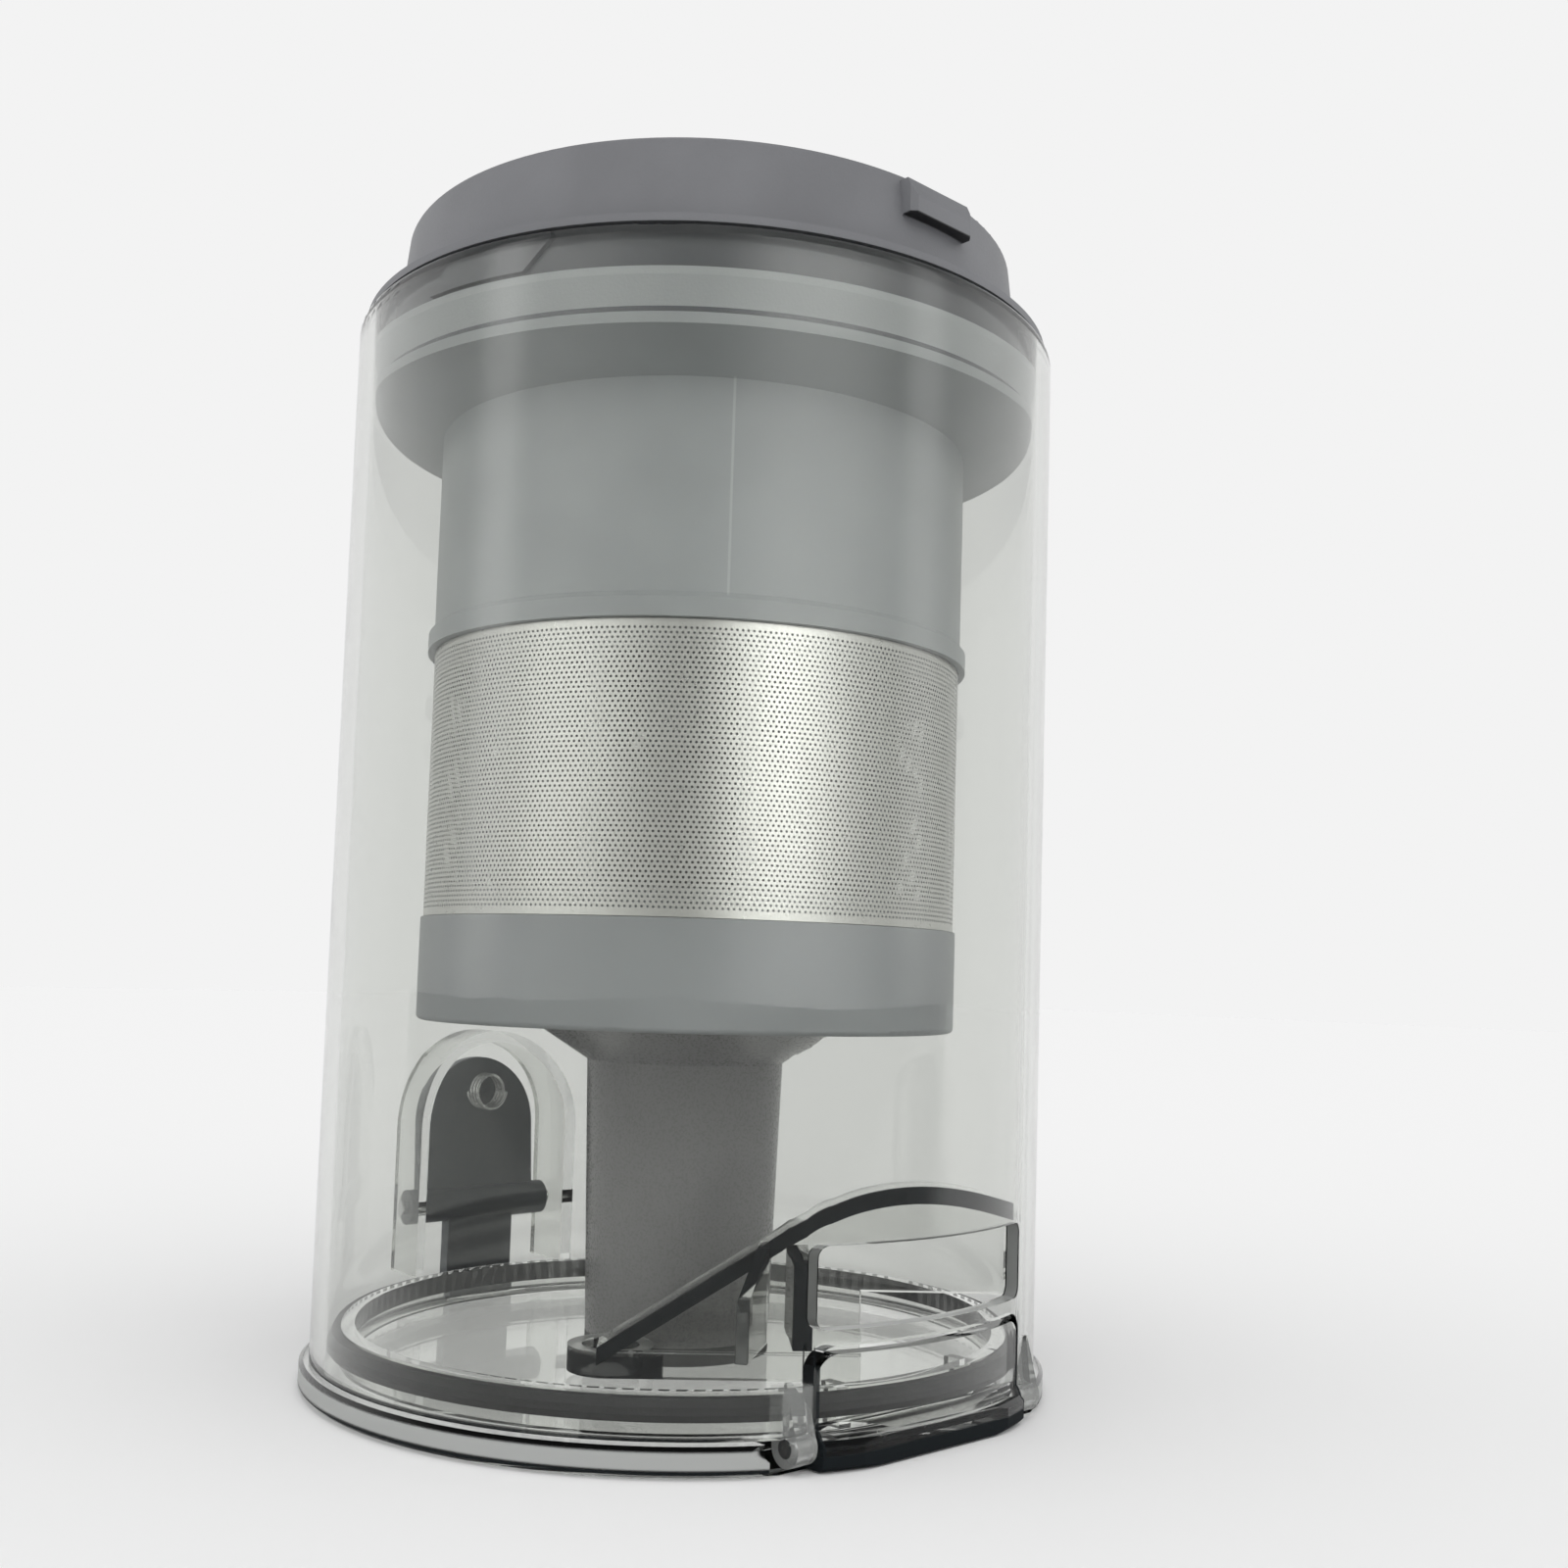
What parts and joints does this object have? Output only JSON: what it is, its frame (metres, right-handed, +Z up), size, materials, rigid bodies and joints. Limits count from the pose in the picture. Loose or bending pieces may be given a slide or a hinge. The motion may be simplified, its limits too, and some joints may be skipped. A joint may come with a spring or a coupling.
{
  "type": "vacuum dust cup with cyclone filter",
  "caption": "Clear cylindrical dust cup with a lift-out cyclone filter: capped cyclone core, perforated steel band, skirt and dust tube, over a hinged latched lid.",
  "frame": {"origin": "centre of the lid's flat underside, on the cup's axis", "axes": "+Z up along the cup's axis, -Y to the front with the inlet mouth and the lid's hinge, +Y to the rear with the latch"},
  "size_m": [0.1128, 0.1182, 0.1739],
  "materials": {
    "clear_plastic": "clear moulded plastic with a faint smoke tint",
    "cap_plastic": "fine matte moulding",
    "shroud_plastic": "satin moulding",
    "skirt_plastic": "satin moulding",
    "tube_plastic": "satin moulding",
    "black_plastic": "fine matte moulding",
    "dark_rubber": "smooth rubber",
    "pale_rubber": "smooth silicone",
    "mesh_steel": "perforated, bright",
    "steel_pin": "drawn wire"
  },
  "bodies": {
    "cup": {"dust_cup": "clear_plastic", "inlet_guide": "clear_plastic", "hinge_pin": "steel_pin", "latch_pin": "steel_pin", "latch_spring": "steel_pin"},
    "lid": {"lid": "clear_plastic", "lid_seal": "dark_rubber"},
    "latch": {"latch_lever": "black_plastic"},
    "cyclone": {"top_cap": "cap_plastic", "lip_seal": "pale_rubber", "shroud": "shroud_plastic", "shroud_gasket": "dark_rubber", "mesh_band": "mesh_steel", "mesh_cage": "skirt_plastic", "lower_skirt": "skirt_plastic", "dust_funnel": "tube_plastic", "tube_seal": "dark_rubber", "cone_block": "skirt_plastic", "cone_tip_seal": "dark_rubber", "plate_gasket": "dark_rubber", "vortex_plate": "cap_plastic", "plate_screws": "steel_pin"}
  },
  "joints": [
    {"name": "lid_hinge", "type": "hinge", "parent": "cup", "child": "lid", "pos_m": [0, -0.05, 0.003], "axis": [-1, 0, 0], "range_deg": [0, 95]},
    {"name": "latch_pivot", "type": "hinge", "parent": "cup", "child": "latch", "pos_m": [0, 0.06, 0.019], "axis": [1, 0, 0], "range_deg": [0, 7], "stiffness_Nm_per_rad": 0.15, "springref_deg": -5.73, "deforming": ["latch_spring"]},
    {"name": "cyclone_lift", "type": "slide", "parent": "cup", "child": "cyclone", "axis": [0, 0, 1], "range_m": [0, 0.172]}
  ]
}
